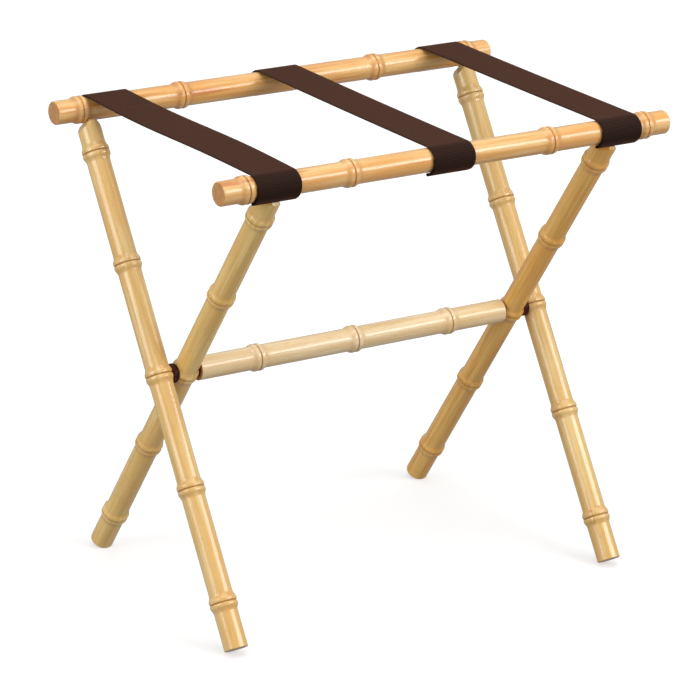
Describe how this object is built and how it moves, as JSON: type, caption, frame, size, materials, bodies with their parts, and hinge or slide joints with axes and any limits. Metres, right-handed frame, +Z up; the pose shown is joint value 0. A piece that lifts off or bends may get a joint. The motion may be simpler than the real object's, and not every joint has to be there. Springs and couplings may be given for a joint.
{
  "type": "folding luggage rack",
  "caption": "Folding luggage rack: crossed pairs of bamboo-style turned wood legs on a pivot, a rail on each pair, and flat webbing straps across the top.",
  "frame": {"origin": "on the floor, under the middle of the pivot line, with the rack open", "axes": "+X along the rails to the right, +Y from the front rail to the rear rail, +Z up"},
  "size_m": [0.55, 0.3454, 0.5084],
  "materials": {
    "rail_wood": "warm tan wood under clear gloss lacquer",
    "leg_wood": "pale tan wood under clear gloss lacquer",
    "dowel_wood": "bare beech",
    "pin_steel": "bright drawn",
    "spacer_wood": "dark brown stain, satin",
    "washer_fibre": "dark red-brown fibre",
    "webbing": "dark brown woven webbing",
    "staple_steel": "galvanised wire"
  },
  "bodies": {
    "outer_frame": {"rear_rail": "rail_wood", "stretcher": "leg_wood", "outer_leg_left": "leg_wood", "outer_leg_right": "leg_wood", "outer_dowel_left": "dowel_wood", "outer_dowel_right": "dowel_wood", "pivot_pin_left": "pin_steel", "pivot_pin_right": "pin_steel", "spacer_left": "spacer_wood", "spacer_right": "spacer_wood", "washer_left": "washer_fibre", "washer_right": "washer_fibre", "strap_left": "webbing", "strap_middle": "webbing", "strap_right": "webbing", "rear_staples_left": "staple_steel", "rear_staples_middle": "staple_steel", "rear_staples_right": "staple_steel"},
    "inner_frame": {"front_rail": "rail_wood", "inner_leg_left": "leg_wood", "inner_leg_right": "leg_wood", "inner_dowel_left": "dowel_wood", "inner_dowel_right": "dowel_wood", "front_staples_left": "staple_steel", "front_staples_middle": "staple_steel", "front_staples_right": "staple_steel"}
  },
  "joints": [
    {"name": "fold", "type": "hinge", "parent": "outer_frame", "child": "inner_frame", "pos_m": [0, 0, 0.25045], "axis": [-1, 0, 0], "range_deg": [0, 58], "deforming": ["strap_left", "strap_middle", "strap_right"]}
  ]
}
